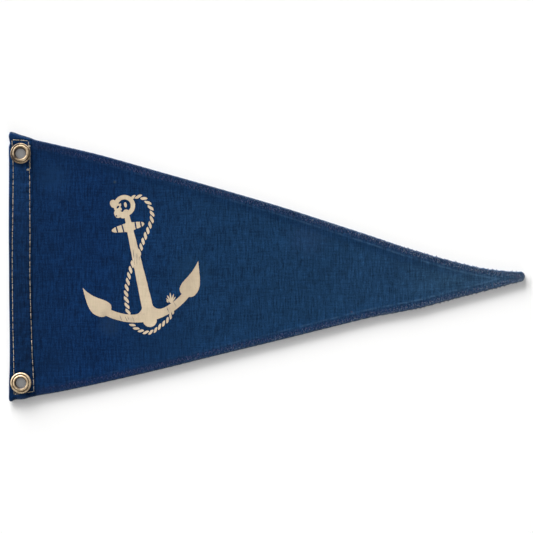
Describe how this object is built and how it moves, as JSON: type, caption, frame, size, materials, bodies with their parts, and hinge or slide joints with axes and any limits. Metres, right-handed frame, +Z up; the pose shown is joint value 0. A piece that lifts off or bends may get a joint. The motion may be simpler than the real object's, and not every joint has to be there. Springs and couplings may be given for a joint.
{
  "type": "pennant flag",
  "caption": "Triangular cotton pennant lying flat, with turned and sewn edges, a stitched hoist heading and set brass grommets to hang it by.",
  "frame": {"origin": "on the surface that the flag lies on, under the middle of the flag's box", "axes": "+X from the hoist towards the fly end, +Y up the hoist, +Z up out of the printed face"},
  "size_m": [0.516, 0.2695, 0.0039],
  "materials": {
    "bunting": "plain-woven navy cotton, faded towards the tip",
    "heading_cloth": "plain-woven navy cotton, folded and stitched",
    "grommet_brass": "aged, with darkened grooves",
    "seam_thread": "tan cotton thread",
    "hem_thread": "faded purple-grey thread",
    "print_ink": "matte cream screen ink, a little worn"
  },
  "bodies": {
    "root": {"panel": "bunting", "heading": "heading_cloth", "eyelet_upper": "grommet_brass", "eyelet_lower": "grommet_brass", "washer_upper": "grommet_brass", "washer_lower": "grommet_brass"}
  },
  "joints": []
}
